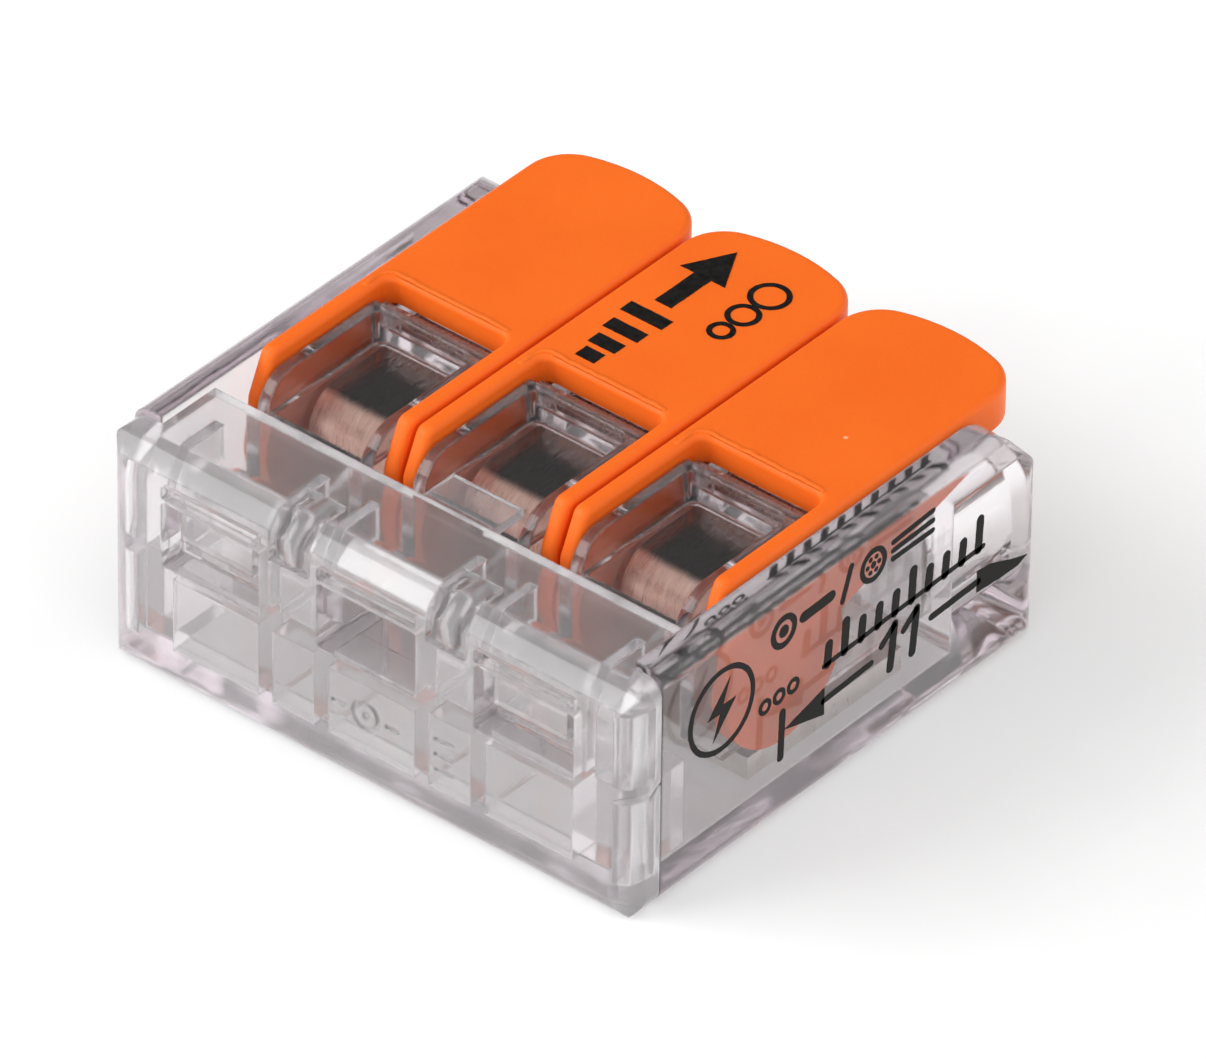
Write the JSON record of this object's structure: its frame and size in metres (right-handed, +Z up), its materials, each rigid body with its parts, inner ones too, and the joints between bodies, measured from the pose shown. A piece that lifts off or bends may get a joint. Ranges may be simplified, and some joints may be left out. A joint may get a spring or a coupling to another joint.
{
  "type": "lever wire connector",
  "caption": "Clear splicing connector with orange levers that open spring clamps for wires inserted side by side.",
  "frame": {"origin": "middle of the bounding box at the bottom face", "axes": "+X across the poles, +Y towards the wire entries and lever tips, +Z up out of the levers"},
  "size_m": [0.0188, 0.0184, 0.0081],
  "materials": {
    "clear_plastic": "clear polycarbonate",
    "orange_plastic": "satin moulded",
    "tinned_copper": "tin plated",
    "spring_steel": "rolled strip"
  },
  "bodies": {
    "body": {"housing": "clear_plastic", "test_cap": "clear_plastic", "busbar": "tinned_copper", "spring_1": "spring_steel", "spring_2": "spring_steel", "spring_3": "spring_steel"},
    "lever_body_1": {"lever_1": "orange_plastic"},
    "tongue_body_1": {"tongue_1": "spring_steel"},
    "lever_body_2": {"lever_2": "orange_plastic"},
    "tongue_body_2": {"tongue_2": "spring_steel"},
    "lever_body_3": {"lever_3": "orange_plastic"},
    "tongue_body_3": {"tongue_3": "spring_steel"}
  },
  "joints": [
    {"name": "lever_1_hinge", "type": "hinge", "parent": "body", "child": "lever_body_1", "pos_m": [-0.0056, -0.00215, 0.0046], "axis": [1, 0, 0], "range_deg": [0, 90]},
    {"name": "tongue_1_bend", "type": "hinge", "parent": "body", "child": "tongue_body_1", "pos_m": [-0.0056, -0.00215, 0.0053], "axis": [1, 0, 0], "range_deg": [0, 33]},
    {"name": "lever_2_hinge", "type": "hinge", "parent": "body", "child": "lever_body_2", "pos_m": [0, -0.00215, 0.0046], "axis": [1, 0, 0], "range_deg": [0, 90]},
    {"name": "tongue_2_bend", "type": "hinge", "parent": "body", "child": "tongue_body_2", "pos_m": [0, -0.00215, 0.0053], "axis": [1, 0, 0], "range_deg": [0, 33]},
    {"name": "lever_3_hinge", "type": "hinge", "parent": "body", "child": "lever_body_3", "pos_m": [0.0056, -0.00215, 0.0046], "axis": [1, 0, 0], "range_deg": [0, 90]},
    {"name": "tongue_3_bend", "type": "hinge", "parent": "body", "child": "tongue_body_3", "pos_m": [0.0056, -0.00215, 0.0053], "axis": [1, 0, 0], "range_deg": [0, 33]}
  ],
  "couplings": [
    {"joint": "tongue_1_bend", "follows": "lever_1_hinge", "ratio": 0.36},
    {"joint": "tongue_2_bend", "follows": "lever_2_hinge", "ratio": 0.36},
    {"joint": "tongue_3_bend", "follows": "lever_3_hinge", "ratio": 0.36}
  ]
}
